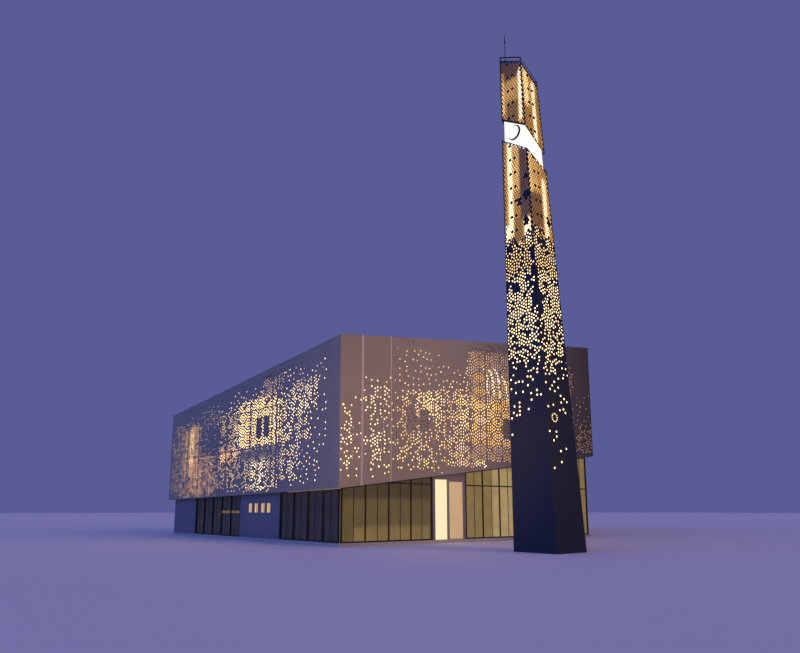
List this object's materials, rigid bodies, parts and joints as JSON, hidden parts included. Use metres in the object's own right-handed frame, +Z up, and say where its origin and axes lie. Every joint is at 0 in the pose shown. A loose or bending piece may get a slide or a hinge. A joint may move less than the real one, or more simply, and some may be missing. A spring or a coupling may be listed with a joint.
{
  "type": "mosque building, 1:2 scale model",
  "caption": "Mosque with a sloping perforated metal skin over a glazed ground storey, and a separate tapered perforated minaret with a light band and mast.",
  "frame": {"origin": "centre of the underside of the hall's ground slab, at ground level", "axes": "+Z up; the entrance front with the minaret faces -Y; the long left side faces -X"},
  "size_m": [17.6, 27.7825, 21.3791],
  "materials": {
    "concrete": "matt fair-faced concrete",
    "wall": "matt plaster, lit warm",
    "skin": "satin champagne-silver coated metal sheet",
    "dark_frame": "satin dark paint",
    "glass": "clear, slightly grey",
    "stone": "honed pale stone",
    "light": "opal light panel",
    "bronze": "dark bronze"
  },
  "bodies": {
    "root": {"crescent": "bronze", "entrance_portal": "stone", "gallery_floor": "concrete", "glass_back": "glass", "glass_front_far": "glass", "glass_front_near": "glass", "glass_left_far": "glass", "glass_left_near": "glass", "glass_right": "glass", "glazing_frame_back": "dark_frame", "glazing_frame_front_far": "dark_frame", "glazing_frame_front_near": "dark_frame", "glazing_frame_left_far": "dark_frame", "glazing_frame_left_near": "dark_frame", "glazing_frame_right": "dark_frame", "ground_slab": "concrete", "ground_wall_left": "stone", "ground_wall_left_end": "stone", "light_band": "light", "mast": "dark_frame", "minaret_base": "concrete", "minaret_deck": "dark_frame", "minaret_frame": "dark_frame", "minaret_lower_back": "skin", "minaret_lower_front": "skin", "minaret_lower_left": "skin", "minaret_lower_right": "skin", "minaret_top_rail": "dark_frame", "minaret_upper_back": "skin", "minaret_upper_front": "skin", "minaret_upper_left": "skin", "minaret_upper_right": "skin", "roof_slab": "concrete", "skin_back": "skin", "skin_frame_back": "dark_frame", "skin_frame_front": "dark_frame", "skin_frame_left": "dark_frame", "skin_frame_right": "dark_frame", "skin_front": "skin", "skin_left": "skin", "skin_right": "skin", "soffit_back": "dark_frame", "soffit_front": "dark_frame", "soffit_left": "dark_frame", "soffit_right": "dark_frame", "upper_floor": "concrete", "upper_wall_back": "wall", "upper_wall_front": "wall", "upper_wall_left": "wall", "upper_wall_right": "wall"}
  },
  "joints": []
}
